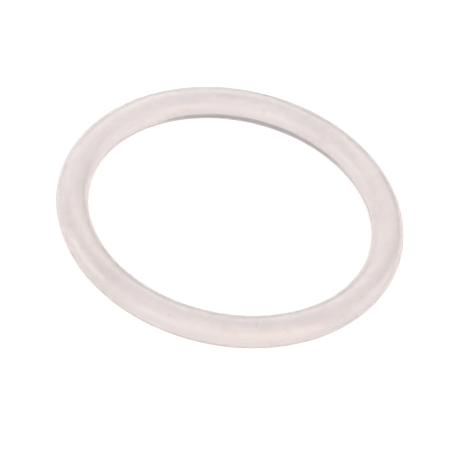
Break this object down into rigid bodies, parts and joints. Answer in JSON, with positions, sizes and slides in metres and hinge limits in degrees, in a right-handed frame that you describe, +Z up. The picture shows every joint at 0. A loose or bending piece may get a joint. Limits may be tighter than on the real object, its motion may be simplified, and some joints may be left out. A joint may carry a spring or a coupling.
{
  "type": "o-ring",
  "caption": "Round-section O-ring seal moulded in one piece from soft translucent silicone rubber, lying flat.",
  "frame": {"origin": "middle of the hole, at the height of the surface that the ring lies on", "axes": "+Z up along the ring's axis of symmetry; X and Y lie in the ring's plane"},
  "size_m": [0.0576, 0.0576, 0.0053],
  "materials": {
    "silicone": "translucent moulded silicone, satin"
  },
  "bodies": {
    "root": {"o_ring": "silicone"}
  },
  "joints": []
}
